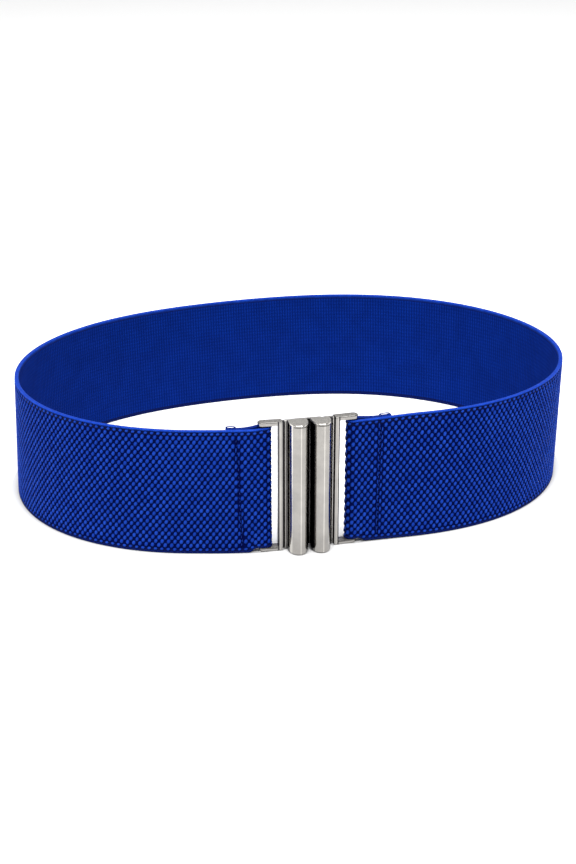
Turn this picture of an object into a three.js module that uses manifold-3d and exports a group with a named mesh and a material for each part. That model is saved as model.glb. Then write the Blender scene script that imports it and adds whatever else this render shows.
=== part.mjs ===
// An elastic stretch belt, fastened and standing on its lower edge.
// Millimetres. +Z is up, the buckle faces -Y, and the wearer's waist goes through the loop along Z.
// One strip of thick knitted elastic makes the loop. Each end goes through a buckle frame, round the
// frame's outer bar, and lies sewn back inside the loop. The buckle is two castings that hook together
// behind a pair of upright D-section bars.
import * as THREE from 'three';
import { mergeVertices } from 'three/addons/utils/BufferGeometryUtils.js';
import Module from 'manifold-3d';

const { degToRad, lerp, smoothstep } = THREE.MathUtils;

// Elastic strip
const BAND_WIDTH = 60;
const BAND_THICKNESS = 2;
const RIM_ROUNDING = 0.5;

// Plan of the loop, taken on the middle of the elastic
const LOOP_LENGTH = 273.3;
const LOOP_DEPTH = 188.2;
const FRONT_FLATTENING = 2.6;
const FLATTENING_TURN = degToRad(-8);

// How the upper edge of the loop lies against the lower one, away from the buckle
const UPPER_TURN = degToRad(2.05);
const UPPER_SHIFT_ACROSS = 1.9;
const UPPER_SHIFT_BACK = 0.8;
const UPPER_DRAW_IN_SIDES = 0.3;
const UPPER_DRAW_IN_DEPTH = 1.1;
const EASE_ACROSS = 60;
const EASE_IN_DEPTH = 30;

// Buckle, measured outwards from the middle of the slit between its two upright bars
const BUCKLE_OFFSET = -12.3;
const BUCKLE_PROUD = 0.4;
const BAR_SLIT = 1;
const BAR_WIDTH = 9.4;
const BAR_DEPTH = 9.3;
const BAR_CHEEK = 3;
const BAR_CORNER = 1;
const BAR_END_ROUNDING = 0.7;
const BEAD_RADIUS = 1.05;
const BEAD_OVERHANG = 1.3;
const GROOVE_WIDTH = 0.7;
const INNER_BAR_WIDTH = 2;
const WINDOW_LENGTH = 6.3;
const OUTER_BAR_WIDTH = 2.6;
const OUTER_BAR_DEPTH = 2.2;
const FRAME_SWEEP = degToRad(3.4);
const FRAME_DEPTH = 4.3;
const FRAME_PROUD = 2.7;
const FRAME_EDGE = 0.4;
const ARM_HEIGHT = 1.7;
const FRAME_LIFT = 0.1;
const BAND_HEADROOM = 1.5;

// Plates behind the upright bars: a rib ties each bar to its frame and a tongue joins the castings
const PLATE_END_INSET = 0.4;
const RIB_THICKNESS = 1;
const RIB_UNDER_BAR = 2.5;

// Hidden hook on the left casting: a tongue with a lip, and the lip's groove in the right casting
const HOOK_HEIGHT = 58;
const TONGUE_THICKNESS = 1.4;
const TONGUE_ROOT = 7.5;
const LIP_THICKNESS = 1.6;
const LIP_LENGTH = 1.8;

// Sewn-back ends of the elastic, measured outwards like the buckle
const SEAT_GAP = 0.3;
const LEFT_FOLD_SLACK = 1.9;
const RIGHT_FOLD_SLACK = 0.7;
const SEAM_REACH = 31.7;
const HEM_REACH = 38;
const DEPARTURE_REACH = 55;
const PINCH_MARGIN = 1;
const PINCH_LENGTH = 4;
const FOLD_RISE = 0.6;
const FOLD_RISE_LENGTH = 6;
const RIGHT_END_LIFT = 0.5;
const LIFT_LENGTH = 50;

// Facets
const LOOP_STEPS = 112;
const FOLD_STEPS = 10;
const LAYER_STEPS = 10;
const LAYER_CROWDING = 1.4;
const TAB_STEPS = 6;
const ROUND_STEPS = 2;
const RIM_STEPS = 1;
const BAR_CURVE_STEPS = 18;

// Overlap that lets two solids of one casting join
const JOIN = 0.3;

const meanRadius = (LOOP_LENGTH + LOOP_DEPTH) / 4;
const ovalSwing = (LOOP_LENGTH - LOOP_DEPTH) / 4;

// A point of the loop, by its angle round the middle. 0 is +X and a quarter turn back is the front.
function loopPoint(angle) {
  const flattening = FRONT_FLATTENING * Math.cos(3 * (angle - Math.PI / 2 - FLATTENING_TURN));
  const radius = meanRadius + ovalSwing * Math.cos(2 * angle) + flattening;
  return new THREE.Vector2(radius * Math.cos(angle), radius * Math.sin(angle));
}

// The angle at which the front of the loop passes a given x.
function frontAngle(x) {
  let low = -Math.PI;
  let high = 0;
  while (high - low > 1e-9) {
    const middle = (low + high) / 2;
    if (loopPoint(middle).x < x) {
      low = middle;
    } else {
      high = middle;
    }
  }
  return (low + high) / 2;
}

// The slope dy/dx of the loop at an angle.
function loopSlope(angle) {
  const step = 1e-4;
  const run = loopPoint(angle + step).sub(loopPoint(angle - step));
  return run.y / run.x;
}

// The flat backs of the upright bars lie a little in front of the middle of the elastic.
const buckleBack = loopPoint(frontAngle(BUCKLE_OFFSET)).y - BUCKLE_PROUD;
const frameFront = buckleBack - FRAME_PROUD;
const frameMiddle = frameFront + FRAME_DEPTH / 2;

// Distances from the middle of the buckle
const barMiddle = (BAR_SLIT + BAR_WIDTH) / 2;
const barSide = BAR_SLIT / 2 + BAR_WIDTH;
const beadSide = barSide + BEAD_OVERHANG;
const frameStart = beadSide + GROOVE_WIDTH;
const windowStart = frameStart + INNER_BAR_WIDTH;
const windowEnd = windowStart + WINDOW_LENGTH;
const frameEnd = windowEnd + OUTER_BAR_WIDTH;

// Heights of the buckle
const windowBottom = FRAME_LIFT + ARM_HEIGHT;
const windowTop = BAND_WIDTH + BAND_HEADROOM;
const frameTop = windowTop + ARM_HEIGHT;
const barTop = frameTop + FRAME_LIFT;
const plateHeights = [FRAME_LIFT + PLATE_END_INSET, frameTop - PLATE_END_INSET];

// The outer bars are flush with the backs of the frames. The elastic turns round each in a half circle.
const outerBarDepth = (FRAME_DEPTH - OUTER_BAR_DEPTH) / 2;
const foldRadius = OUTER_BAR_DEPTH / 2 + SEAT_GAP + BAND_THICKNESS / 2;
const outerBarReach = (windowEnd + frameEnd) / 2;
const foldReachOn = (side) => outerBarReach - (side < 0 ? LEFT_FOLD_SLACK : RIGHT_FOLD_SLACK);

// The loose tab beyond the seam. Its facets are at least twice as long as the rims' rounding.
const tabLength = HEM_REACH - SEAM_REACH;
const tabSteps = Math.min(TAB_STEPS, Math.max(1, Math.floor(tabLength / (2 * RIM_ROUNDING))));

// A plan point of a frame, by its reach and its depth behind the frame's middle. The frames sweep
// back from the upright bars, to follow the waist.
function framePoint(side, reach, depth) {
  const point = new THREE.Vector2(reach - frameStart, depth);
  point.rotateAround(new THREE.Vector2(), FRAME_SWEEP);
  return new THREE.Vector2(BUCKLE_OFFSET + side * (frameStart + point.x), frameMiddle + point.y);
}

// One end of the strip, from its hem inside the loop, round the outer bar and out to where it joins
// the oval. side is -1 on the left and 1 on the right.
function sewnEnd(side) {
  const foldReach = foldReachOn(side);
  const across = (reach) => BUCKLE_OFFSET + side * reach;
  const foldPoint = (reach, depth) => framePoint(side, reach, outerBarDepth + depth);
  const leave = loopPoint(frontAngle(across(DEPARTURE_REACH)));
  const slope = loopSlope(frontAngle(across(DEPARTURE_REACH)));
  const foldFront = foldPoint(foldReach, -foldRadius);
  const startReach = side * (foldFront.x - BUCKLE_OFFSET);
  const third = (DEPARTURE_REACH - startReach) / 3;
  const sweepSlope = Math.tan(FRAME_SWEEP);
  const foldHandle = new THREE.Vector2(foldFront.x + side * third, foldFront.y + third * sweepSlope);
  const leaveHandle = new THREE.Vector2(leave.x - side * third, leave.y - side * third * slope);
  const frontLayer = new THREE.CubicBezierCurve(foldFront, foldHandle, leaveHandle, leave);
  const layerPitch = BAND_THICKNESS + SEAT_GAP;
  const behind = (reach) => {
    const share = (reach - startReach) / (DEPARTURE_REACH - startReach);
    const along = frontLayer.getTangent(share).multiplyScalar(side);
    return frontLayer.getPoint(share).add(new THREE.Vector2(-along.y, along.x).multiplyScalar(layerPitch));
  };
  const tab = [];
  for (let step = 0; step < tabSteps; step += 1) {
    tab.push(behind(HEM_REACH - tabLength * step / tabSteps));
  }
  const seam = behind(SEAM_REACH);
  const towardsFold = seam.clone().sub(behind(SEAM_REACH + 1)).normalize();
  const stretch = (SEAM_REACH - foldReach) / 3;
  const seamHandle = seam.clone().addScaledVector(towardsFold, stretch);
  const foldBack = foldPoint(foldReach, foldRadius);
  const backHandle = foldPoint(foldReach + stretch, foldRadius);
  const backLayer = new THREE.CubicBezierCurve(seam, seamHandle, backHandle, foldBack);
  const fold = [];
  for (let step = 0; step < FOLD_STEPS; step += 1) {
    const turn = Math.PI * step / FOLD_STEPS;
    const reach = foldReach - foldRadius * Math.sin(turn);
    fold.push(foldPoint(reach, foldRadius * Math.cos(turn)));
  }
  const behindFrame = backLayer.getPoints(TAB_STEPS).slice(0, -1);
  const front = [];
  for (let step = 0; step <= LAYER_STEPS; step += 1) {
    front.push(frontLayer.getPoint((step / LAYER_STEPS) ** LAYER_CROWDING));
  }
  return [...tab, ...behindFrame, ...fold, ...front];
}

// The middle line of the whole strip, from the left hem round the back to the right hem.
function bandMiddleLine() {
  const left = frontAngle(BUCKLE_OFFSET - DEPARTURE_REACH);
  const right = frontAngle(BUCKLE_OFFSET + DEPARTURE_REACH) - 2 * Math.PI;
  const oval = [];
  for (let step = 1; step < LOOP_STEPS; step += 1) {
    oval.push(loopPoint(lerp(left, right, step / LOOP_STEPS)));
  }
  return [...sewnEnd(-1), ...oval, ...sewnEnd(1).reverse()];
}

// The strip's section: offsets outwards across and heights up, with rounded edges.
function stripSection() {
  const across = BAND_THICKNESS / 2 - RIM_ROUNDING;
  const up = BAND_WIDTH - RIM_ROUNDING;
  const section = new THREE.Path();
  section.absarc(across, RIM_ROUNDING, RIM_ROUNDING, -Math.PI / 2, 0);
  section.absarc(across, up, RIM_ROUNDING, 0, Math.PI / 2);
  section.absarc(-across, up, RIM_ROUNDING, Math.PI / 2, Math.PI);
  section.absarc(-across, RIM_ROUNDING, RIM_ROUNDING, Math.PI, 1.5 * Math.PI);
  return section.getPoints(RIM_STEPS);
}

// A closed body: the section carried along a middle line and capped at both hems.
function stripBody(line) {
  const section = stripSection();
  const positions = line.flatMap((point, index) => {
    const before = line[Math.max(index - 1, 0)];
    const after = line[Math.min(index + 1, line.length - 1)];
    const along = after.clone().sub(before).normalize();
    return section.flatMap((corner) => [
      point.x - along.y * corner.x,
      point.y + along.x * corner.x,
      corner.y,
    ]);
  });
  const size = section.length;
  const faces = [];
  for (let ring = 0; ring < line.length - 1; ring += 1) {
    for (let corner = 0; corner < size; corner += 1) {
      const here = ring * size + corner;
      const next = ring * size + (corner + 1) % size;
      faces.push(here, next, here + size, next, next + size, here + size);
    }
  }
  const last = (line.length - 1) * size;
  for (let corner = 1; corner < size - 1; corner += 1) {
    faces.push(0, corner + 1, corner, last, last + corner, last + corner + 1);
  }
  const geometry = new THREE.BufferGeometry();
  geometry.setAttribute('position', new THREE.Float32BufferAttribute(positions, 3));
  geometry.setIndex(faces);
  return geometry;
}

// An upright prism from z = low to z = high with rounded ends of the given size.
function upright(shape, low, high, rounding) {
  const geometry = new THREE.ExtrudeGeometry(shape, {
    depth: high - low - 2 * rounding,
    steps: 1,
    curveSegments: BAR_CURVE_STEPS,
    bevelEnabled: rounding > 0,
    bevelThickness: rounding,
    bevelSize: rounding,
    bevelOffset: -rounding,
    bevelSegments: ROUND_STEPS,
  });
  return geometry.translate(0, 0, low + rounding);
}

// Turns, shifts and draws in the upper edge of the strip, keeps the strip clear of the frames' lower
// arms, raises it a little at the folds and lifts its right end.
function shapeBand(geometry) {
  const position = geometry.getAttribute('position');
  const pinch = windowBottom + SEAT_GAP;
  const turn = Math.tan(UPPER_TURN);
  for (let index = 0; index < position.count; index += 1) {
    const x = position.getX(index);
    const y = position.getY(index);
    const height = position.getZ(index) / BAND_WIDTH;
    const reach = y < 0 ? Math.abs(x - BUCKLE_OFFSET) : LOOP_LENGTH;
    const beyondFold = reach - foldReachOn(x - BUCKLE_OFFSET);
    const beyondFrame = reach - frameEnd - PINCH_MARGIN;
    const across = UPPER_SHIFT_ACROSS - turn * y - UPPER_DRAW_IN_SIDES * x / (LOOP_LENGTH / 2);
    const inDepth = UPPER_SHIFT_BACK + turn * x - UPPER_DRAW_IN_DEPTH * y / (LOOP_DEPTH / 2);
    const shiftX = across * smoothstep(beyondFold, 0, EASE_ACROSS);
    const shiftY = inDepth * smoothstep(beyondFold, 0, EASE_IN_DEPTH);
    const rise = pinch * (1 - smoothstep(beyondFrame, 0, PINCH_LENGTH));
    const crown = FOLD_RISE * (1 - smoothstep(beyondFold, 0, FOLD_RISE_LENGTH));
    const endLift = x > BUCKLE_OFFSET ? RIGHT_END_LIFT : 0;
    const lift = endLift * (1 - smoothstep(beyondFold, 0, LIFT_LENGTH));
    const z = lerp(Math.max(rise, lift), BAND_WIDTH + Math.max(crown, lift), height);
    position.setXYZ(index, x + height * shiftX, y + height * shiftY, z);
  }
  geometry.computeVertexNormals();
  return geometry;
}

const wasm = await Module();
wasm.setup();

function solid(geometry) {
  const bare = geometry.clone();
  bare.deleteAttribute('normal');
  bare.deleteAttribute('uv');
  const merged = mergeVertices(bare);
  return new wasm.Manifold(new wasm.Mesh({
    numProp: 3,
    vertProperties: new Float32Array(merged.getAttribute('position').array),
    triVerts: new Uint32Array(merged.getIndex().array),
  }));
}

function geometryOf(body) {
  const mesh = body.getMesh();
  const geometry = new THREE.BufferGeometry();
  geometry.setAttribute('position', new THREE.BufferAttribute(new Float32Array(mesh.vertProperties), 3));
  geometry.setIndex(new THREE.BufferAttribute(new Uint32Array(mesh.triVerts), 1));
  geometry.computeVertexNormals();
  return geometry;
}

// A block between two distances from the middle of the buckle, two depths behind the flat backs of
// the upright bars, and two heights. A depth in front of the backs is negative.
function block(side, reaches, depths, heights) {
  const size = [reaches, depths, heights].map(([low, high]) => high - low);
  const geometry = new THREE.BoxGeometry(...size);
  geometry.translate(
    BUCKLE_OFFSET + side * (reaches[0] + reaches[1]) / 2,
    buckleBack + (depths[0] + depths[1]) / 2,
    (heights[0] + heights[1]) / 2,
  );
  return solid(geometry);
}

// D-section of an upright bar: flat back, rounded back corners, straight cheeks, long round front.
function barOutline(middle) {
  const half = BAR_WIDTH / 2;
  const corner = half - BAR_CORNER;
  const cornerDepth = buckleBack - BAR_CORNER;
  const shape = new THREE.Shape();
  shape.moveTo(middle - corner, buckleBack);
  shape.absarc(middle + corner, cornerDepth, BAR_CORNER, Math.PI / 2, 0, true);
  shape.absellipse(middle, buckleBack - BAR_CHEEK, half, BAR_DEPTH - BAR_CHEEK, 0, -Math.PI, true);
  shape.absarc(middle - corner, cornerDepth, BAR_CORNER, Math.PI, Math.PI / 2, true);
  return shape;
}

// A frame: square beside the upright bar, round at its outer end, with a window for the elastic. Its
// outer bar is thinner than its arms, so that the folded elastic lies level with them.
function frameSolid(side) {
  const round = FRAME_DEPTH / 2;
  const end = side * (frameEnd - frameStart - round);
  const plan = new THREE.Shape();
  plan.moveTo(0, round);
  plan.lineTo(end, round);
  plan.absarc(end, 0, round, Math.PI / 2, -Math.PI / 2, side > 0);
  plan.lineTo(0, -round);
  const length = WINDOW_LENGTH + 2 * OUTER_BAR_WIDTH;
  const opening = new THREE.BoxGeometry(length, 2 * FRAME_DEPTH, windowTop - windowBottom);
  opening.translate(side * (windowStart + length / 2 - frameStart), 0, (windowTop + windowBottom) / 2);
  const section = new THREE.Shape();
  const sectionMiddle = side * (outerBarReach - frameStart);
  section.absellipse(sectionMiddle, outerBarDepth, OUTER_BAR_WIDTH / 2, OUTER_BAR_DEPTH / 2, 0, 2 * Math.PI);
  const outerBar = upright(section, windowBottom - JOIN, windowTop + JOIN, 0);
  const outline = upright(plan, FRAME_LIFT, frameTop, FRAME_EDGE);
  const [whole, gap, bar] = [outline, opening, outerBar].map((geometry) => {
    geometry.rotateZ(side * FRAME_SWEEP);
    return solid(geometry.translate(BUCKLE_OFFSET + side * frameStart, frameMiddle, 0));
  });
  return whole.subtract(gap).add(bar.intersect(whole));
}

// What both castings share: the upright bar, its bead and rib, and the frame with its window.
function castingBody(side) {
  const bar = upright(barOutline(BUCKLE_OFFSET + side * barMiddle), 0, barTop, BAR_END_ROUNDING);
  const bead = new THREE.Shape();
  const beadReach = beadSide - BEAD_RADIUS;
  bead.absarc(BUCKLE_OFFSET + side * beadReach, frameMiddle, BEAD_RADIUS, 0, 2 * Math.PI);
  const rib = block(
    side,
    [barSide - RIB_UNDER_BAR, frameStart + JOIN],
    [-JOIN, RIB_THICKNESS],
    plateHeights,
  );
  return solid(bar)
    .add(solid(upright(bead, FRAME_LIFT, frameTop, FRAME_EDGE)))
    .add(rib)
    .add(frameSolid(side));
}

const lipReach = [barMiddle - LIP_THICKNESS / 2, barMiddle + LIP_THICKNESS / 2];
const hookHeights = [(barTop - HOOK_HEIGHT) / 2, (barTop + HOOK_HEIGHT) / 2];
const tongueDepths = [SEAT_GAP, SEAT_GAP + TONGUE_THICKNESS];

// Left casting: a tongue leaves the back of its bar, passes behind the other bar and turns into it.
function hookCasting() {
  const root = block(-1, [BAR_SLIT / 2 + BAR_CORNER, TONGUE_ROOT], [-JOIN, tongueDepths[1]], plateHeights);
  const tongue = block(1, [-TONGUE_ROOT, lipReach[1]], tongueDepths, plateHeights);
  const lip = block(1, lipReach, [SEAT_GAP - LIP_LENGTH, tongueDepths[1]], hookHeights);
  return castingBody(-1).add(root).add(tongue).add(lip);
}

// Right casting: the back of its bar has a groove for the lip.
function grooveCasting() {
  const groove = block(
    1,
    [lipReach[0] - SEAT_GAP, lipReach[1] + SEAT_GAP],
    [-LIP_LENGTH, JOIN],
    [hookHeights[0] - SEAT_GAP, hookHeights[1] + SEAT_GAP],
  );
  return castingBody(1).subtract(groove);
}

const elastic = new THREE.MeshStandardMaterial({ color: 0x0b3dc0, roughness: 0.85, metalness: 0 });
const nickel = new THREE.MeshStandardMaterial({ color: 0xc5c1ba, roughness: 0.18, metalness: 1 });

function piece(name, geometry, material) {
  const mesh = new THREE.Mesh(geometry, material);
  mesh.name = name;
  return mesh;
}

const belt = new THREE.Group();
belt.add(piece('elastic_band', shapeBand(stripBody(bandMiddleLine())), elastic));
belt.add(piece('buckle_hook_half', geometryOf(hookCasting()), nickel));
belt.add(piece('buckle_groove_half', geometryOf(grooveCasting()), nickel));

// The belt stands with the middle of its box over the origin.
const box = new THREE.Box3().setFromObject(belt);
belt.position.set(-(box.min.x + box.max.x) / 2, -(box.min.y + box.max.y) / 2, -box.min.z);

const group = new THREE.Group();
group.add(belt);

export default group;
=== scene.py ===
import math

import bpy
import numpy as np
from mathutils import Matrix, Vector


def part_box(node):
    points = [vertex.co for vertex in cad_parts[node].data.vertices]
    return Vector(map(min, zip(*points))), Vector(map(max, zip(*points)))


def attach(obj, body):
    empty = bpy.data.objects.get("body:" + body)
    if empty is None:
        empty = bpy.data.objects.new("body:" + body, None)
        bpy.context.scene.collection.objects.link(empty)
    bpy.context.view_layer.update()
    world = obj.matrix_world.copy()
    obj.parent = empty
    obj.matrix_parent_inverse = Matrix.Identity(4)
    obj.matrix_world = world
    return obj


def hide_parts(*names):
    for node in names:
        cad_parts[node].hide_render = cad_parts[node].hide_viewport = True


# An elastic stretch belt, fastened and standing on its lower edge. Sizes are in millimetres and are
# turned into metres when a mesh is made. +Z is up and the buckle faces -Y.
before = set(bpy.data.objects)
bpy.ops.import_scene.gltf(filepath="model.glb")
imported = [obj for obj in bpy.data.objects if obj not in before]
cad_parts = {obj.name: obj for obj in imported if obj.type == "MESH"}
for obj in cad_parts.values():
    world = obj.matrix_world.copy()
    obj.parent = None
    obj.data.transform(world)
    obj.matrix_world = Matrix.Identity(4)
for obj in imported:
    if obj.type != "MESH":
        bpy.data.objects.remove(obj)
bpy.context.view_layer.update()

MM = 0.001

# Elastic strip
BAND_WIDTH = 60.0
BAND_THICKNESS = 2.0
HALF_THICKNESS = BAND_THICKNESS / 2

# Plan of the loop, on the middle of the elastic
LOOP_LENGTH = 273.3
LOOP_DEPTH = 188.2
FRONT_FLATTENING = 2.6
FLATTENING_TURN = math.radians(-8)
MEAN_RADIUS = (LOOP_LENGTH + LOOP_DEPTH) / 4
OVAL_SWING = (LOOP_LENGTH - LOOP_DEPTH) / 4

# How the upper edge lies against the lower one, away from the buckle
UPPER_TURN = math.radians(2.05)
UPPER_SHIFT_ACROSS = 1.9
UPPER_SHIFT_BACK = 0.8
UPPER_DRAW_IN_SIDES = 0.3
UPPER_DRAW_IN_DEPTH = 1.1
EASE_ACROSS = 60.0
EASE_IN_DEPTH = 30.0

# Buckle, measured outwards from the middle of the slit between its two upright bars
BUCKLE_OFFSET = -12.3
BUCKLE_PROUD = 0.4
BAR_SLIT = 1.0
BAR_WIDTH = 9.4
BAR_DEPTH = 9.3
BAR_CHEEK = 3.0
BAR_CORNER = 1.0
BAR_END_ROUNDING = 0.7
BEAD_RADIUS = 1.05
BEAD_OVERHANG = 1.3
GROOVE_WIDTH = 0.7
INNER_BAR_WIDTH = 2.0
WINDOW_LENGTH = 6.3
OUTER_BAR_WIDTH = 2.6
OUTER_BAR_DEPTH = 2.2
FRAME_SWEEP = math.radians(3.4)
FRAME_DEPTH = 4.3
FRAME_PROUD = 2.7
FRAME_EDGE = 0.4
ARM_HEIGHT = 1.7
FRAME_LIFT = 0.1
BAND_HEADROOM = 1.5
PLATE_END_INSET = 0.4
RIB_THICKNESS = 1.0
RIB_UNDER_BAR = 2.5
CAST_EDGE = 0.16
BAR_TRIM = 0.03
JOIN = 0.3

# Hidden hook of the left casting and its groove in the right one
HOOK_HEIGHT = 58.0
TONGUE_THICKNESS = 1.4
TONGUE_ROOT = 7.5
LIP_THICKNESS = 1.6
LIP_LENGTH = 1.8

# Sewn-back ends of the elastic, measured outwards like the buckle
SEAT_GAP = 0.3
FOLD_SLACK = {-1: 1.9, 1: 0.7}
SEAM_REACH = 31.7
HEM_REACH = 38.0
DEPARTURE_REACH = 55.0
PINCH_MARGIN = 1.0
PINCH_LENGTH = 4.0
FOLD_RISE = 0.6
FOLD_RISE_LENGTH = 6.0
RIGHT_END_LIFT = 0.5
LIFT_LENGTH = 50.0
FOOT_CROWDING = 7

BAR_MIDDLE = (BAR_SLIT + BAR_WIDTH) / 2
BAR_SIDE = BAR_SLIT / 2 + BAR_WIDTH
BEAD_SIDE = BAR_SIDE + BEAD_OVERHANG
FRAME_START = BEAD_SIDE + GROOVE_WIDTH
WINDOW_START = FRAME_START + INNER_BAR_WIDTH
WINDOW_END = WINDOW_START + WINDOW_LENGTH
FRAME_END = WINDOW_END + OUTER_BAR_WIDTH
WINDOW_BOTTOM = FRAME_LIFT + ARM_HEIGHT
WINDOW_TOP = BAND_WIDTH + BAND_HEADROOM
FRAME_TOP = WINDOW_TOP + ARM_HEIGHT
BAR_TOP = FRAME_TOP + FRAME_LIFT
PLATE_HEIGHTS = (FRAME_LIFT + PLATE_END_INSET, FRAME_TOP - PLATE_END_INSET)
OUTER_BAR_SET = (FRAME_DEPTH - OUTER_BAR_DEPTH) / 2
FOLD_RADIUS = OUTER_BAR_DEPTH / 2 + SEAT_GAP + HALF_THICKNESS
OUTER_BAR_REACH = (WINDOW_END + FRAME_END) / 2
FOLD_REACH = {side: OUTER_BAR_REACH - slack for side, slack in FOLD_SLACK.items()}

# Knit of the outer face: staggered rows of raised loops over a dark ground. A pad's profile is its
# share of the width and its height, from the foot up, in shares of its size.
LOOP_PITCH = 2.93
ROW_PITCH = 1.947
FIRST_ROW_DROP = 1.7
ROW_COUNT = 30
LOOP_SIZE = (1.94, 2.6, 0.6)
SMALLEST_LOOP = 0.5
EDGE_LOOP_HEIGHT = 1.6
LOOP_SIDES = 8
LOOP_PROFILE = ((1.0, -0.25), (0.94, 0.35), (0.72, 0.74), (0.4, 0.94))
LOOP_LEAN = 0.2
LOOP_WOBBLE = math.radians(6)
LOOP_SPREAD = 0.08
PAD_SQUARENESS = 2.5
GROUND_DEPTH = 0.5
HEM_MARGIN = 1.3
FOLD_FLATNESS = 0.55
FOLD_HALF_WIDTH = 2.6

# Ribbed inner face
RIB_PITCH = 1.5
RIB_RELIEF = 0.12
RIB_FACETS = 4
COURSE_PITCH = 1.95
DOT_HEIGHT = 58.7
DOT_SIZE = 0.7

# Seams, where each turned-back end is sewn down: reach at the bottom and at the top
SEAMS = {-1: (30.3, 32.8), 1: (32.5, 33.0)}
SEAM_BOTTOM = 3.0
SEAM_TOP = 55.5
SEAM_OVERRUN = 1.0
SEAM_SINK = 0.45
SEAM_HALF_WIDTH = 0.5
SEAM_SQUEEZE = 1.6
SEAM_FLATNESS = 0.35
STITCH_PITCH = 1.95
STITCH_SIZE = (0.45, 1.5, 0.34)
STITCH_SIDES = 6
STITCH_PROFILE = ((1.0, -0.4), (0.9, 0.5), (0.6, 0.9))
STITCH_STAGGER = 0.2
STITCH_RISE = 0.12
STITCH_WOBBLE = math.radians(12)
STITCH_SPREAD = 0.15

# Loose loop of thread over each hem: length and height, and the thread's radius
THREAD_LOOP = (4.6, 0.8)
THREAD_RADIUS = 0.22
THREAD_POINTS = 24

# How finely the strip's middle line is drawn and measured, and how far to each side of a place its
# directions are taken
OVAL_STEPS = 4000
END_STEPS = 120
PLACING_STEPS = 6000
TANGENT_STEP = 1e-4
OUTWARD_STEP = 0.15
AXES_STEP = 0.2

# How finely the round parts of the castings are drawn, from which angle on an edge is broken and
# looks sharp, and how nearly level a face of an end is
CORNER_STEPS = 6
FRONT_STEPS = 72
FRAME_END_STEPS = 20
BEAD_SIDES = 28
OUTER_BAR_SIDES = 26
ROUNDING_STEPS = 5
BROKEN_ANGLE = math.radians(40)
SHARP_ANGLE = math.radians(32)
END_FACING = 0.9


def loop_point(angle):
    """A point of the loop, by its angle round the middle: 0 is +X, minus a quarter turn the front."""
    flattening = FRONT_FLATTENING * np.cos(3 * (angle - math.pi / 2 - FLATTENING_TURN))
    radius = MEAN_RADIUS + OVAL_SWING * np.cos(2 * angle) + flattening
    return np.stack([radius * np.cos(angle), radius * np.sin(angle)], axis=-1)


def front_angle(x):
    """The angle at which the front of the loop passes a given x."""
    low, high = -math.pi, 0.0
    while high - low > 1e-9:
        middle = (low + high) / 2
        if loop_point(middle)[0] < x:
            low = middle
        else:
            high = middle
    return (low + high) / 2


BUCKLE_BACK = loop_point(front_angle(BUCKLE_OFFSET))[1] - BUCKLE_PROUD
FRAME_MIDDLE = BUCKLE_BACK - FRAME_PROUD + FRAME_DEPTH / 2


def frame_point(side, reach, depth):
    """A plan point of a frame, by its reach and its depth behind the frame's middle."""
    run = reach - FRAME_START
    across = run * math.cos(FRAME_SWEEP) - depth * math.sin(FRAME_SWEEP)
    back = run * math.sin(FRAME_SWEEP) + depth * math.cos(FRAME_SWEEP)
    return np.array([BUCKLE_OFFSET + side * (FRAME_START + across), FRAME_MIDDLE + back])


def bezier(start, leave, arrive, end, share):
    """Points of a cubic curve at the given shares of its run."""
    share = np.atleast_1d(share)[:, None]
    rest = 1 - share
    return rest**3 * start + 3 * rest**2 * share * leave + 3 * rest * share**2 * arrive + share**3 * end


def sewn_end(side):
    """One end of the strip, from its hem inside the loop, round the outer bar, out to the oval."""
    fold_reach = FOLD_REACH[side]
    angle = front_angle(BUCKLE_OFFSET + side * DEPARTURE_REACH)
    leave = loop_point(angle)
    run = loop_point(angle + TANGENT_STEP) - loop_point(angle - TANGENT_STEP)
    slope = run[1] / run[0]
    fold_front = frame_point(side, fold_reach, OUTER_BAR_SET - FOLD_RADIUS)
    start_reach = side * (fold_front[0] - BUCKLE_OFFSET)
    third = (DEPARTURE_REACH - start_reach) / 3
    front = (
        fold_front,
        fold_front + np.array([side * third, third * math.tan(FRAME_SWEEP)]),
        leave - np.array([side * third, side * third * slope]),
        leave,
    )

    def behind(reach):
        share = (reach - start_reach) / (DEPARTURE_REACH - start_reach)
        along = (bezier(*front, share + TANGENT_STEP) - bezier(*front, share - TANGENT_STEP))[0] * side
        along /= np.linalg.norm(along)
        return bezier(*front, share)[0] + np.array([-along[1], along[0]]) * (BAND_THICKNESS + SEAT_GAP)

    shares = np.linspace(0, 1, END_STEPS, endpoint=False)
    tab = np.array([behind(HEM_REACH + (SEAM_REACH - HEM_REACH) * share) for share in shares])
    seam = behind(SEAM_REACH)
    towards_fold = seam - behind(SEAM_REACH + 1)
    towards_fold /= np.linalg.norm(towards_fold)
    stretch = (SEAM_REACH - fold_reach) / 3
    back = bezier(
        seam,
        seam + towards_fold * stretch,
        frame_point(side, fold_reach + stretch, OUTER_BAR_SET + FOLD_RADIUS),
        frame_point(side, fold_reach, OUTER_BAR_SET + FOLD_RADIUS),
        shares,
    )
    turns = math.pi * shares
    round_bar = zip(fold_reach - FOLD_RADIUS * np.sin(turns), OUTER_BAR_SET + FOLD_RADIUS * np.cos(turns))
    fold = np.array([frame_point(side, reach, depth) for reach, depth in round_bar])
    return np.concatenate([tab, back, fold, bezier(*front, np.linspace(0, 1, END_STEPS))])


def strip_line():
    """The middle line of the whole strip, from the left hem round the back to the right hem."""
    left = front_angle(BUCKLE_OFFSET - DEPARTURE_REACH)
    right = front_angle(BUCKLE_OFFSET + DEPARTURE_REACH) - 2 * math.pi
    oval = loop_point(np.linspace(left, right, OVAL_STEPS)[1:-1])
    return np.concatenate([sewn_end(-1), oval, sewn_end(1)[::-1]])


LINE = strip_line()
LINE_RUN = np.concatenate([[0], np.cumsum(np.linalg.norm(np.diff(LINE, axis=0), axis=1))])
STRIP_LENGTH = LINE_RUN[-1]

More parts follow.
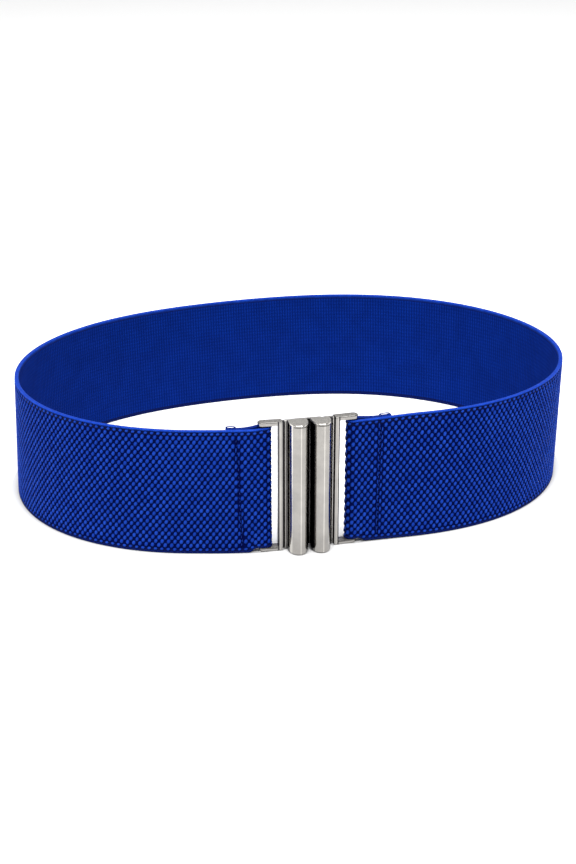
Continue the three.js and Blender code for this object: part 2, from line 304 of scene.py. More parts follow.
# Distances from each hem to where its fold starts and ends
FOLD_RUNS = {
    -1: (LINE_RUN[2 * END_STEPS], LINE_RUN[3 * END_STEPS]),
    1: (STRIP_LENGTH - LINE_RUN[-1 - 2 * END_STEPS], STRIP_LENGTH - LINE_RUN[-1 - 3 * END_STEPS]),
}


def line_at(along):
    """Plan points of the middle line at distances along it."""
    return np.stack([np.interp(along, LINE_RUN, LINE[:, axis]) for axis in (0, 1)], axis=-1)


def outward_at(along):
    """Plan directions that point out of the loop, square to the middle line."""
    after = line_at(np.minimum(along + OUTWARD_STEP, STRIP_LENGTH))
    run = after - line_at(np.maximum(along - OUTWARD_STEP, 0))
    run /= np.linalg.norm(run, axis=-1, keepdims=True)
    return np.stack([-run[..., 1], run[..., 0]], axis=-1)


def smoothstep(value, low, high):
    """Rises smoothly from 0 to 1 between two values."""
    share = np.clip((value - low) / (high - low), 0, 1)
    return share * share * (3 - 2 * share)


def drape(plan, height):
    """Turns, shifts and draws in the strip's upper edge, and lifts its foot beside the frames."""
    x, y = plan[..., 0], plan[..., 1]
    share = height / BAND_WIDTH
    reach = np.where(y < 0, np.abs(x - BUCKLE_OFFSET), LOOP_LENGTH)
    beyond_fold = reach - np.where(x < BUCKLE_OFFSET, FOLD_REACH[-1], FOLD_REACH[1])
    beyond_frame = reach - FRAME_END - PINCH_MARGIN
    turn = math.tan(UPPER_TURN)
    across = UPPER_SHIFT_ACROSS - turn * y - UPPER_DRAW_IN_SIDES * x / (LOOP_LENGTH / 2)
    in_depth = UPPER_SHIFT_BACK + turn * x - UPPER_DRAW_IN_DEPTH * y / (LOOP_DEPTH / 2)
    shift_x = across * smoothstep(beyond_fold, 0, EASE_ACROSS)
    shift_y = in_depth * smoothstep(beyond_fold, 0, EASE_IN_DEPTH)
    rise = (WINDOW_BOTTOM + SEAT_GAP) * (1 - smoothstep(beyond_frame, 0, PINCH_LENGTH))
    crown = FOLD_RISE * (1 - smoothstep(beyond_fold, 0, FOLD_RISE_LENGTH))
    end_lift = np.where(x > BUCKLE_OFFSET, RIGHT_END_LIFT, 0)
    lift = end_lift * (1 - smoothstep(beyond_fold, 0, LIFT_LENGTH))
    z = height + np.maximum(rise, lift) * (1 - share) ** FOOT_CROWDING + np.maximum(crown, lift) * share
    return np.stack([x + share * shift_x, y + share * shift_y, z], axis=-1)


def strip_place(along, height, offset):
    """Places on the strip by the distance along it, the height up it and the offset outwards."""
    along, height, offset = np.broadcast_arrays(along, height, offset)
    plan = line_at(along) + outward_at(along) * offset[..., None]
    return drape(plan, height)


def strip_axes(along, height, offset):
    """The outward and upward directions of the strip's surface at those places."""
    after, before = (strip_place(along + step, height, offset) for step in (AXES_STEP, -AXES_STEP))
    above, below = (strip_place(along, height + step, offset) for step in (AXES_STEP, -AXES_STEP))
    run = after - before
    rise = above - below
    rise /= np.linalg.norm(rise, axis=-1, keepdims=True)
    out = np.cross(rise, run)
    return out / np.linalg.norm(out, axis=-1, keepdims=True), rise


def place_of_belt():
    """The shift that puts the belt's own plan where the frame has it."""
    low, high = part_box("elastic_band")
    along = np.linspace(0, STRIP_LENGTH, PLACING_STEPS)[:, None]
    edge = strip_place(along, np.array([0, BAND_WIDTH]), HALF_THICKNESS)
    middle = (low.x + high.x) / 2 / MM - (edge[..., 0].min() + edge[..., 0].max()) / 2
    return np.array([middle, high.y / MM - edge[..., 1].max(), 0])


BELT_SHIFT = place_of_belt()


def run_at(side, layer, reach):
    """How far along the strip its front or back layer beside the buckle passes a reach."""
    from_hem = LINE_RUN if side < 0 else STRIP_LENGTH - LINE_RUN
    start, end = FOLD_RUNS[side]
    if layer == "back":
        there = from_hem < start
    else:
        there = (from_hem > end) & (from_hem < STRIP_LENGTH / 2) & (LINE[:, 1] < 0)
    distance = np.abs(LINE[:, 0] - BUCKLE_OFFSET - side * reach)
    return LINE_RUN[np.argmin(np.where(there, distance, np.inf))]


def seam_run(side, layer, height):
    """How far along the strip the seam lies at a height."""
    bottom, top = (run_at(side, layer, reach) for reach in SEAMS[side])
    return bottom + (top - bottom) * (height - SEAM_BOTTOM) / (SEAM_TOP - SEAM_BOTTOM)


def seam_distance(along, height):
    """Distance along the strip to the nearest seam, large above and below the seams' ends."""
    sewn = (height > SEAM_BOTTOM - SEAM_OVERRUN) & (height < SEAM_TOP + SEAM_OVERRUN)
    nearest = np.full(np.broadcast(along, height).shape, np.inf)
    for side in SEAMS:
        for layer in ("front", "back"):
            nearest = np.minimum(nearest, np.abs(along - seam_run(side, layer, height)))
    return np.where(sewn, nearest, np.inf)


# Materials

def tint(red, green, blue):
    """A colour of the photo's 0 to 255 scale as Blender's linear one."""
    shares = [value / 255 for value in (red, green, blue)]
    return [v / 12.92 if v <= 0.04045 else ((v + 0.055) / 1.055) ** 2.4 for v in shares] + [1.0]


def add_node(tree, kind, inputs=None, **settings):
    """Adds a node to a tree, with its inputs linked to sockets or set to values."""
    made = tree.nodes.new(kind)
    for key, value in settings.items():
        setattr(made, key, value)
    for key, value in (inputs or {}).items():
        if isinstance(value, bpy.types.NodeSocket):
            tree.links.new(value, made.inputs[key])
        else:
            made.inputs[key].default_value = value
    return made


class Finish:
    """A material and short ways to add nodes to it."""

    def __init__(self, name, roughness, metallic=0.0, gloss=0.5):
        self.material = bpy.data.materials.new(name)
        self.material.use_nodes = True
        self.tree = self.material.node_tree
        self.shader = self.tree.nodes["Principled BSDF"]
        self.shader.inputs["Roughness"].default_value = roughness
        self.shader.inputs["Metallic"].default_value = metallic
        self.shader.inputs["Specular IOR Level"].default_value = gloss

    def node(self, kind, inputs=None, **settings):
        return add_node(self.tree, kind, inputs, **settings)

    def math(self, operation, *values):
        return self.node("ShaderNodeMath", dict(enumerate(values)), operation=operation).outputs[0]

    def ripple(self, coordinate, pitch):
        """A wave from 0 to 1 that repeats at a pitch along a coordinate."""
        turns = self.math("MULTIPLY", coordinate, 2 * math.pi / pitch)
        return self.math("MULTIPLY_ADD", self.math("SINE", turns), 0.5, 0.5)

    def map(self, name):
        """The two coordinates of a map on the piece, across and up."""
        flat = self.node("ShaderNodeUVMap", uv_map=name).outputs[0]
        apart = self.node("ShaderNodeSeparateXYZ", {0: flat})
        return apart.outputs[0], apart.outputs[1]

    def place(self):
        """The coordinates of the piece itself."""
        place = self.node("ShaderNodeTexCoord").outputs["Object"]
        return self.node("ShaderNodeSeparateXYZ", {0: place}).outputs[:]

    def own(self, name):
        """A number that the piece carries at each of its points."""
        return self.node("ShaderNodeAttribute", attribute_name=name).outputs["Fac"]

    def noise(self, grain, detail=2.0, stretch=(1, 1, 1)):
        """Noise with grains of a size in millimetres, longer along an axis whose stretch is below 1."""
        place = self.node("ShaderNodeTexCoord").outputs["Object"]
        scaled = self.node("ShaderNodeMapping", {"Vector": place, "Scale": stretch}).outputs[0]
        inputs = {"Vector": scaled, "Scale": 1 / (grain * MM), "Detail": detail}
        return self.node("ShaderNodeTexNoise", inputs).outputs["Fac"]

    def spread(self, value, low, high, to_low=0.0, to_high=1.0):
        inputs = {"Value": value, "From Min": low, "From Max": high, "To Min": to_low, "To Max": to_high}
        return self.node("ShaderNodeMapRange", inputs).outputs[0]

    def band(self, value, low, high, soft):
        """1 between two values and 0 beyond them."""
        above = self.spread(value, low - soft, low)
        return self.math("MULTIPLY", above, self.spread(value, high + soft, high))

    def scaled(self, colour, factor):
        """A colour times a number."""
        made = self.node("ShaderNodeVectorMath", {0: colour, "Scale": factor}, operation="SCALE")
        return made.outputs[0]

    def ramp(self, share, stops, blueness):
        """A cool grey that runs through the given stops of a share and a value."""
        made = self.node("ShaderNodeValToRGB", {0: share})
        elements = made.color_ramp.elements
        for index, (at, value) in enumerate(stops):
            element = elements[index] if index < 2 else elements.new(at)
            element.position = at
            element.color = (value, value, value + blueness, 1.0)
        return made.outputs[0]

    def mix(self, share, low, high):
        return self.node("ShaderNodeMix", {0: share, 6: low, 7: high}, data_type="RGBA").outputs[2]

    def colour(self, socket):
        self.tree.links.new(socket, self.shader.inputs["Base Color"])

    def roughness(self, socket):
        self.tree.links.new(socket, self.shader.inputs["Roughness"])

    def bump(self, height, depth):
        """Raises the surface by a height from 0 to 1 over a depth in millimetres."""
        made = self.node("ShaderNodeBump", {"Height": height, "Distance": depth * MM})
        self.tree.links.new(made.outputs[0], self.shader.inputs["Normal"])


def loop_yarn():
    """Royal blue yarn of the raised loops: fine filaments, with painted shade at the foot of each loop."""
    finish = Finish("royal_blue_yarn", roughness=0.6, gloss=0.03)
    across = finish.map("yarn")[0]
    # Painted shade: the colour darkens towards the foot of each loop, where it meets the ground.
    foot = finish.spread(finish.own("lift"), 0.1, 0.95)
    body = finish.mix(finish.own("tone"), tint(12, 47, 138), tint(22, 60, 158))
    finish.colour(finish.mix(foot, tint(1, 12, 66), body))
    sway = finish.math("MULTIPLY_ADD", finish.noise(0.6), 0.25, across)
    finish.bump(finish.ripple(sway, 0.2), 0.05)
    return finish.material


def ground_yarn():
    """Ground between the raised loops: its own deep navy, kept darker still as painted shade in the gaps.
    """
    finish = Finish("deep_navy_ground", roughness=0.9, gloss=0.02)
    across, up = finish.map("cloth")
    threads = finish.math("MULTIPLY", finish.ripple(across, 0.7 * MM), finish.ripple(up, 0.5 * MM))
    # Painted shade: the ground's colour is kept near black to stand for the shade between the loops.
    finish.colour(finish.mix(threads, tint(0, 5, 50), tint(1, 13, 78)))
    finish.bump(threads, 0.08)
    return finish.material


def rim_yarn():
    """Smooth woven edge of the strip: fine threads laid across it, with painted light on its top and
    painted shade below it, along the lower edge and on the layers behind the folds.
    """
    finish = Finish("royal_blue_edge", roughness=0.6, gloss=0.04)
    across = finish.map("cloth")[0]
    threads = finish.ripple(across, RIB_PITCH / 2 * MM)
    worn = finish.spread(finish.noise(2.5), 0.3, 0.7)
    body = finish.mix(worn, tint(14, 58, 168), tint(24, 74, 196))
    # Painted light and shade across the rim, from the points' shade numbers.
    shade = finish.math("MULTIPLY", finish.own("shade"), finish.spread(threads, 0, 0.5, 0.6, 1))
    finish.colour(finish.mix(shade, tint(1, 8, 56), body))
    finish.bump(threads, 0.05)
    return finish.material


def rib_yarn():
    """Ribbed inner face: upright ribs crossed by fine courses, with a row of floats under the top, painted
    lighter on the ribs' crests and with painted shade in the furrows and in the hollow between the layers.
    """
    finish = Finish("dark_blue_ribs", roughness=0.8, gloss=0.02)
    across, up = finish.map("cloth")
    courses = finish.ripple(up, COURSE_PITCH * MM)
    ribs = finish.ripple(finish.math("ADD", across, RIB_PITCH / 4 * MM), RIB_PITCH * MM)
    patches = finish.spread(finish.noise(9.0), 0.35, 0.65, 0.75, 1.0)
    crossed = finish.spread(courses, 0, 0.6, 0.75, 1)
    # Painted light on the ribs' crests and painted shade in their furrows and between the courses.
    lit = finish.math("MULTIPLY", finish.spread(ribs, 0, 1, 0.3, 1), crossed)
    cloth = finish.mix(finish.math("MULTIPLY", lit, patches), tint(1, 16, 70), tint(4, 35, 116))
    # Painted shade: the inner faces in the hollow between the layers, from seam to fold, are painted near
    # black.
    cloth = finish.mix(finish.own("hollow"), cloth, tint(0, 4, 26))
    low, high = DOT_HEIGHT - DOT_SIZE / 2, DOT_HEIGHT + DOT_SIZE / 2
    row = finish.band(up, low * MM, high * MM, 0.15 * MM)
    dots = finish.math("MULTIPLY", row, finish.spread(finish.ripple(across, LOOP_PITCH * MM), 0.45, 0.8))
    finish.colour(finish.mix(dots, cloth, tint(28, 66, 170)))
    finish.bump(finish.math("MULTIPLY", courses, ribs), 0.12)
    return finish.material


def sewing_thread():
    """Twisted polyester thread of the seams and hems."""
    finish = Finish("blue_sewing_thread", roughness=0.5, gloss=0.15)
    across, up = finish.map("yarn")
    twist = finish.ripple(finish.math("ADD", across, up), 0.25)
    finish.colour(finish.mix(twist, tint(5, 24, 95), tint(24, 60, 160)))
    finish.bump(twist, 0.05)
    return finish.material


def loose_thread():
    """Thread of the loose loops at the hems."""
    finish = Finish("loose_blue_thread", roughness=0.6, gloss=0.1)
    twist = finish.ripple(finish.place()[0], 0.5 * MM)
    finish.colour(finish.mix(twist, tint(2, 16, 70), tint(10, 40, 125)))
    return finish.material


# How bright the front of each casting is painted, by the reach in millimetres, minus on the left: upright
# strips of painted highlights that stand for reflections, and painted shade in the grooves, on the flanks
# and in the slit. A ramp takes at most 32 stops.
BLACK, DARK, DULL, LIGHT, BRIGHT, WHITE = 0.05, 0.22, 0.5, 1.0, 1.5, 1.9
STRIP_REACH = 24.0
STRIPS = {
    -1: (
        (-STRIP_REACH, LIGHT), (-14.25, LIGHT), (-14.2, BLACK), (-13.65, BLACK), (-13.55, LIGHT),
        (-13.25, LIGHT), (-13.05, BRIGHT), (-12.85, LIGHT), (-12.15, LIGHT), (-12.0, BLACK),
        (-11.15, BLACK), (-11.0, BRIGHT), (-10.7, BRIGHT), (-10.5, DULL), (-9.95, DULL), (-9.8, BLACK),
        (-9.55, BLACK), (-9.4, BRIGHT), (-8.8, BRIGHT), (-8.5, LIGHT), (-5.3, LIGHT), (-5.0, WHITE),
        (-4.7, LIGHT), (-2.6, LIGHT), (-2.4, DULL), (-1.6, DULL), (-1.3, BLACK), (-0.8, BLACK),
        (-0.5, DARK), (STRIP_REACH, DARK),
    ),
    1: (
        (-STRIP_REACH, DARK), (0.5, DARK), (0.8, BLACK), (1.15, BLACK), (1.3, DULL), (1.85, DULL),
        (1.95, LIGHT), (2.1, BRIGHT), (2.3, LIGHT), (5.2, LIGHT), (5.5, WHITE), (5.8, LIGHT),
        (8.6, LIGHT), (8.75, BLACK), (10.4, BLACK), (10.6, DULL), (11.3, DULL), (11.4, WHITE),
        (11.6, WHITE), (11.7, BLACK), (12.0, BLACK), (12.1, LIGHT), (13.1, LIGHT), (13.3, BRIGHT),
        (13.5, LIGHT), (13.6, LIGHT), (13.65, BLACK), (14.2, BLACK), (14.25, LIGHT), (STRIP_REACH, LIGHT),
    ),
}
STRIP_BLUENESS = 0.02

# Thin painted dark lines along the lower and upper edges of the bars and frames, as painted dark
# reflections, and painted shade at the bars' feet: from which height to which, between which distances from
# the middle of the buckle. EDGE_LINE is how bright they are.
EDGE_LINES = (
    (-1.0, 0.4, 0.0, 10.0),
    (62.1, 62.45, 2.5, 8.0),
    (1.35, 1.75, 14.0, STRIP_REACH),
    (62.8, 63.12, 12.0, STRIP_REACH),
)
EDGE_LINE = 0.3


def polished_nickel(side):
    """Bright nickel plate with upright strips of painted highlights and painted shade, painted dark edge
    lines, painted shade towards the bottom, faint polishing lines and cloudy places.
    """
    finish = Finish("polished_nickel_" + ("left" if side < 0 else "right"), roughness=0.1, metallic=1.0)
    x, y, z = finish.place()
    middle = (BUCKLE_OFFSET + BELT_SHIFT[0]) * MM
    share = finish.spread(x, middle - STRIP_REACH * MM, middle + STRIP_REACH * MM)
    stops = [(0.5 + reach / (2 * STRIP_REACH), value) for reach, value in STRIPS[side]]
    back = (BUCKLE_BACK + BELT_SHIFT[1]) * MM
    front = finish.spread(y, back + 1.2 * MM, back + 0.6 * MM)
    # Painted highlights and painted shade in upright strips across the front.
    strips = finish.mix(front, (1, 1, 1, 1), finish.ramp(share, stops, STRIP_BLUENESS))
    clouds = finish.spread(finish.noise(6.0, 3.0), 0.35, 0.65)
    plate = finish.mix(clouds, tint(169, 166, 161), tint(180, 177, 171))
    # Painted shade: the plate is darker towards the floor.
    light = finish.spread(z, 0.5 * MM, 16 * MM, 0.8, 1.0)
    distance = finish.math("ABSOLUTE", finish.math("SUBTRACT", x, middle))
    # Painted dark reflections and painted shade along the edges.
    for low, high, near, far in EDGE_LINES:
        here = finish.band(distance, near * MM, far * MM, 0.3 * MM)
        line = finish.math("MULTIPLY", finish.band(z, low * MM, high * MM, 0.12 * MM), front)
        shade = finish.spread(finish.math("MULTIPLY", line, here), 0, 1, 1.0, EDGE_LINE)
        light = finish.math("MULTIPLY", light, shade)
    colour = finish.node("ShaderNodeVectorMath", {0: plate, 1: strips}, operation="MULTIPLY").outputs[0]
    finish.colour(finish.scaled(colour, light))
    lines = finish.noise(0.25, 2.0, stretch=(1, 1, 0.02))
    finish.roughness(finish.spread(lines, 0.3, 0.7, 0.08, 0.16))
    finish.bump(lines, 0.004)
    return finish.material


def cast_nickel():
    """Plated casting skin on the ends of the bars and frames, finely pitted, darker on the arms."""
    finish = Finish("cast_nickel_ends", roughness=0.3, metallic=1.0)
    pits = finish.spread(finish.noise(0.32, 1.0), 0.42, 0.58)
    middle = (BUCKLE_OFFSET + BELT_SHIFT[0]) * MM
    reach = finish.math("ABSOLUTE", finish.math("SUBTRACT", finish.place()[0], middle))
    light = finish.spread(reach, 10.5 * MM, 12.5 * MM, 1.0, 0.72)
    skin = finish.mix(pits, tint(127, 124, 121), tint(178, 175, 170))
    finish.colour(finish.scaled(skin, light))
    finish.roughness(finish.spread(pits, 0, 1, 0.5, 0.28))
    finish.bump(pits, 0.05)
    return finish.material


# Meshes

def mesh_of(name, places, faces, materials):
    """A mesh of places in millimetres, smooth all over."""
    mesh = bpy.data.meshes.new(name)
    mesh.from_pydata((np.asarray(places).reshape(-1, 3) * MM).tolist(), [], faces)
    for material in materials:
        mesh.materials.append(material)
    mesh.shade_smooth()
    return mesh


def quads(bands, size, closed=True):
    """Faces between lines of so many points each, one after the other, each line closed or open."""
    return [
        (
            band * size + point,
            band * size + (point + 1) % size,
            (band + 1) * size + (point + 1) % size,
            (band + 1) * size + point,
        )
        for band in range(bands)
        for point in range(size if closed else size - 1)
    ]


def carry(mesh, name, values):
    """Gives each point of a mesh a number of its own."""
    mesh.attributes.new(name, "FLOAT", "POINT").data.foreach_set("value", values)


def show(name, mesh):
    """Puts a mesh, curve or lamp into the scene."""
    made = bpy.data.objects.new(name, mesh)
    bpy.context.scene.collection.objects.link(made)
    return made


def hand_in(name, mesh, slot, *replaced):
    """Shows a finished mesh as a piece of the belt."""
    piece = show(name, mesh)
    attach(piece, "root")
    if replaced:
        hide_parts(*replaced)


def evaluated_mesh(made, name):
    """The mesh that an object's modifiers give. The object itself is taken away."""
    depsgraph = bpy.context.evaluated_depsgraph_get()
    mesh = bpy.data.meshes.new_from_object(made.evaluated_get(depsgraph), depsgraph=depsgraph)
    mesh.name = name
    bpy.data.objects.remove(made)
    return mesh


# Section of the strip's edges: how far out, how far below the edge and how bright it is painted, from the
# inner side out; the brightness is painted light and shade across the rounded edge, with painted shade in
# the dark line below its top. The lower edge is the same, but darker with painted shade, and so is the rim
# of the layers behind the folds.
GROUND = HALF_THICKNESS - GROUND_DEPTH
RIM_SECTION = (
    (-1.0, 1.1, 0.3),
    (-1.0, 0.45, 0.5),
    (-0.86, 0.15, 0.6),
    (-0.5, 0.02, 0.5),
    (0.0, 0.0, 0.5),
    (0.5, 0.02, 0.5),
    (0.88, 0.14, 0.7),
    (0.97, 0.32, 0.75),
    (0.8, 0.44, 0.1),
    (0.9, 0.56, 0.6),
    (0.88, 0.72, 0.6),
    (GROUND, 0.95, 0.0),
)
# Painted shade: the lower rim near the floor and the rims of the layers behind the folds are painted
# darker.
LOWER_RIM_SHADE = 0.15
BACK_LAYER_SHADE = 0.65
RIBBED_HEIGHTS = (2.0, 20.0, 40.0, 58.0)
GROUND_HEIGHTS = (SEAM_TOP + 1.5, SEAM_TOP, 40.0, 20.0, SEAM_BOTTOM, SEAM_BOTTOM - 0.8)


def strip_section():
    """The section's outline from the foot of the inner face: offset, height, what it is, painted
    brightness.
    """
    rows = [(-HALF_THICKNESS, height, "ribs", 0.0) for height in RIBBED_HEIGHTS]
    rows += [(out, BAND_WIDTH - drop, "rim", shade) for out, drop, shade in RIM_SECTION]
    rows += [(GROUND, height, "ground", 0.0) for height in GROUND_HEIGHTS]
    rows += [(out, drop, "rim", shade * LOWER_RIM_SHADE) for out, drop, shade in reversed(RIM_SECTION)]
    return rows


def elastic_wall():
    """The strip's body with its ribbed inner face, its rims and the ground that the loops stand on."""
    rows = strip_section()
    offsets, heights, shades = (np.array([row[column] for row in rows]) for column in (0, 1, 3))
    kinds = [row[2] for row in rows]
    count = int(STRIP_LENGTH / RIB_PITCH) * RIB_FACETS + 1
    along = np.linspace(0, STRIP_LENGTH, count)[:, None]
    ribbed = np.array([kind == "ribs" for kind in kinds])
    sewn = np.array([kind == "ground" for kind in kinds])
    relief = RIB_RELIEF * (0.5 - 0.5 * np.cos(2 * math.pi * along / RIB_PITCH)) * ribbed
    sink = SEAM_SINK * np.exp(-((seam_distance(along, heights) / SEAM_HALF_WIDTH) ** 2)) * sewn
    places = strip_place(along, heights, offsets + relief - sink) + BELT_SHIFT
    size = len(rows)
    faces = [(a, d, c, b) for a, b, c, d in quads(count - 1, size)]
    start = list(range(size))
    end = [(count - 1) * size + row for row in start]
    faces += [start, end[::-1]]
    mesh = mesh_of("elastic_wall", places, faces, [ground_yarn(), rim_yarn(), rib_yarn()])
    slots = {"ground": 0, "rim": 1, "ribs": 2}
    row_slots = [slots[kind] if kind == kinds[(row + 1) % size] else 1 for row, kind in enumerate(kinds)]
    mesh.polygons.foreach_set("material_index", row_slots * (count - 1) + [1, 1])
    # Painted shade on the rims of the layers behind the folds: their shade numbers are lowered.
    start, end = FOLD_RUNS[-1][0], STRIP_LENGTH - FOLD_RUNS[1][0]
    hidden = 1 - smoothstep(along, start - 2, start + 2) * smoothstep(-along, -end - 2, -end + 2)
    carry(mesh, "shade", (shades * (1 - BACK_LAYER_SHADE * hidden)).ravel())
    # Painted shade in the hollow between the layers behind each fold.
    hollow = np.zeros(len(along))
    for side in SEAMS:
        start, end = sorted(run_at(side, layer, SEAM_REACH) for layer in ("back", "front"))
        hollow += ((along > start) & (along < end)).ravel()
    carry(mesh, "hollow", np.repeat(hollow, size))
    flat = np.stack(np.broadcast_arrays(along, heights), axis=-1).reshape(-1, 2) * MM
    corners = np.zeros(len(mesh.loops), dtype=int)
    mesh.loops.foreach_get("vertex_index", corners)
    mesh.uv_layers.new(name="cloth").data.foreach_set("uv", flat[corners].ravel())
    return mesh


def dome(name, sides, rings, lean=0.0):
    """A small closed pad, one unit wide, tall and high, over rings of a share of the width and a height."""
    turns = np.linspace(0, 2 * math.pi, sides, endpoint=False)
    round_outline = np.stack([np.cos(turns), np.sin(turns)], axis=-1)
    outline = np.sign(round_outline) * np.abs(round_outline) ** (2 / PAD_SQUARENESS) / 2
    outline[:, 0] += outline[:, 1] * lean
    places = [(x * share, y * share, high) for share, high in rings for x, y in outline] + [(0, 0, 1)]
    apex = len(places) - 1
    top = (len(rings) - 1) * sides
    faces = quads(len(rings) - 1, sides)
    faces += [(top + side, top + (side + 1) % sides, apex) for side in range(sides)]
    faces.append(tuple(range(sides))[::-1])
    mesh = mesh_of(name, np.array(places) / MM, faces, [])
    carry(mesh, "lift", [place[2] for place in places])
    layer = mesh.uv_layers.new(name="yarn")
    for corner in mesh.loops:
        layer.data[corner.index].uv = places[corner.vertex_index][:2]
    made = show(name, mesh)
    made.hide_render = True
    return made


def repeat_tree():
    """Nodes that put a template on every point of a mesh, turned to the point's own directions."""
    tree = bpy.data.node_groups.new("repeat_on_strip", "GeometryNodeTree")
    kinds = {
        "Points": "Geometry", "Template": "Object", "Wobble": "Float",
        "Spread": "Float", "Seed": "Int", "Finish": "Material",
    }
    new_socket = tree.interface.new_socket
    ways = {
        label: new_socket(label, in_out="INPUT", socket_type=f"NodeSocket{kind}").identifier
        for label, kind in kinds.items()
    }
    new_socket("Repeated", in_out="OUTPUT", socket_type="NodeSocketGeometry")

    def node(kind, inputs, **settings):
        return add_node(tree, kind, inputs, **settings).outputs[0]

    def figure(operation, *values):
        return node("ShaderNodeMath", dict(enumerate(values)), operation=operation)

    def chance(low, high, draw):
        seed = figure("ADD", given["Seed"], draw)
        return add_node(tree, "FunctionNodeRandomValue", {2: low, 3: high, "Seed": seed}).outputs[1]

    given = tree.nodes.new("NodeGroupInput").outputs
    pad = add_node(
        tree, "GeometryNodeObjectInfo", {"Object": given["Template"]}, transform_space="ORIGINAL",
    ).outputs["Geometry"]
    out, rise, size = (
        node("GeometryNodeInputNamedAttribute", {"Name": name}, data_type="FLOAT_VECTOR")
        for name in ("outward", "upward", "size")
    )
    facing = node(
        "FunctionNodeAxesToRotation", {"Primary Axis": out, "Secondary Axis": rise},
        primary_axis="Z", secondary_axis="Y",
    )
    angle = chance(figure("MULTIPLY", given["Wobble"], -1.0), given["Wobble"], 0.0)
    twist = node("FunctionNodeAxisAngleToRotation", {"Axis": (0, 0, 1), "Angle": angle})
    turn = node("FunctionNodeRotateRotation", {0: facing, 1: twist}, rotation_space="LOCAL")
    share = chance(figure("SUBTRACT", 1.0, given["Spread"]), 1.0, 1.0)
    scale = node("ShaderNodeVectorMath", {0: size, "Scale": share}, operation="SCALE")
    placed = node("GeometryNodeInstanceOnPoints", {
        "Points": given["Points"], "Instance": pad, "Rotation": turn, "Scale": scale,
    })
    toned = node(
        "GeometryNodeStoreNamedAttribute",
        {"Geometry": placed, "Name": "tone", "Value": chance(0.0, 1.0, 2.0)},
        data_type="FLOAT", domain="INSTANCE",
    )
    whole = node("GeometryNodeRealizeInstances", {"Geometry": toned})
    painted = node("GeometryNodeSetMaterial", {"Geometry": whole, "Material": given["Finish"]})
    tree.links.new(painted, tree.nodes.new("NodeGroupOutput").inputs[0])
    return tree, ways


REPEAT, REPEAT_INPUTS = repeat_tree()


def repeated(name, template, along, height, offset, sizes, finish, wobble, spread, seed):
    """A mesh of the template on every given place of the strip, each a little turned and smaller."""
    points = strip_place(along, height, offset) + BELT_SHIFT
    mesh = bpy.data.meshes.new(name)
    mesh.from_pydata((points * MM).tolist(), [], [])
    outward, upward = strip_axes(along, height, offset)
    for label, values in (("outward", outward), ("upward", upward), ("size", np.asarray(sizes) * MM)):
        column = mesh.attributes.new(label, "FLOAT_VECTOR", "POINT")
        column.data.foreach_set("vector", np.ascontiguousarray(values).ravel())
    made = show(name, mesh)
    modifier = made.modifiers.new("repeat", "NODES")
    modifier.node_group = REPEAT
    given = {"Template": template, "Wobble": wobble, "Spread": spread, "Seed": seed, "Finish": finish}
    for label, value in given.items():
        modifier[REPEAT_INPUTS[label]] = value
    result = evaluated_mesh(made, name)
    for label in ("outward", "upward", "size"):
        if label in result.attributes:
            result.attributes.remove(result.attributes[label])
    return result


def knit_places():
    """Where the raised loops stand along and up the strip, and how wide, tall and high each is."""
    rows = np.arange(ROW_COUNT)
    length = STRIP_LENGTH - 2 * HEM_MARGIN
    columns = np.arange(round(length / LOOP_PITCH + 0.5))
    along = HEM_MARGIN + (columns[:, None] + 0.5 * (rows % 2)) * length / (len(columns) - 0.5)
    height = BAND_WIDTH - FIRST_ROW_DROP - rows * ROW_PITCH + 0 * along
    edge = (rows == 0) | (rows == ROW_COUNT - 1)
    sizes = np.tile(LOOP_SIZE, (*along.shape, 1))
    sizes[:, edge, 1] = EDGE_LOOP_HEIGHT
    distance = seam_distance(along, height)
    squeeze = 1 - smoothstep(distance, SEAM_HALF_WIDTH, SEAM_SQUEEZE)
    sizes[..., 0] = np.minimum(sizes[..., 0], 2 * (distance - SEAM_HALF_WIDTH / 2))
    sizes[..., 2] *= 1 - SEAM_FLATNESS * squeeze
    from_hems = {-1: along, 1: STRIP_LENGTH - along}
    from_fold = np.minimum(*(np.abs(from_hems[side] - sum(FOLD_RUNS[side]) / 2) for side in FOLD_RUNS))
    sizes[..., 2] *= 1 - FOLD_FLATNESS * (1 - smoothstep(from_fold, 0, FOLD_HALF_WIDTH))
    kept = sizes[..., 0] > SMALLEST_LOOP
    return along[kept], height[kept], sizes[kept]


def knit_pieces():
    """The raised loops, in three stretches round the loop."""
    template = dome("loop_pad", LOOP_SIDES, LOOP_PROFILE, LOOP_LEAN)
    finish = loop_yarn()
    along, height, sizes = knit_places()
    names = ("knit_front_left", "knit_back", "knit_front_right")
    limits = np.linspace(0, STRIP_LENGTH, len(names) + 1)
    for index, name in enumerate(names):
        here = (along >= limits[index]) & (along < limits[index + 1])
        places = (along[here], height[here], GROUND, sizes[here])
        mesh = repeated(name, template, *places, finish, LOOP_WOBBLE, LOOP_SPREAD, 10 * index)
        hand_in(name, mesh, "elastic")
    bpy.data.objects.remove(template)


def seam_pieces():
    """The stitches that sew each turned-back end down, seen on both layers."""
    template = dome("stitch_pad", STITCH_SIDES, STITCH_PROFILE)
    finish = sewing_thread()
    height = np.arange(SEAM_BOTTOM + 1, SEAM_TOP, STITCH_PITCH)
    for side, name in ((-1, "seam_left"), (1, "seam_right")):
        both = [seam_run(side, layer, height) for layer in ("front", "back")]
        along = np.concatenate(both) + STITCH_STAGGER * (-1) ** np.arange(2 * len(height))
        sizes = np.tile(STITCH_SIZE, (len(along), 1))
        places = (along, np.tile(height, 2), GROUND - SEAM_SINK + STITCH_RISE, sizes)
        mesh = repeated(name, template, *places, finish, STITCH_WOBBLE, STITCH_SPREAD, 50)
        hand_in(name, mesh, "elastic")
    bpy.data.objects.remove(template)


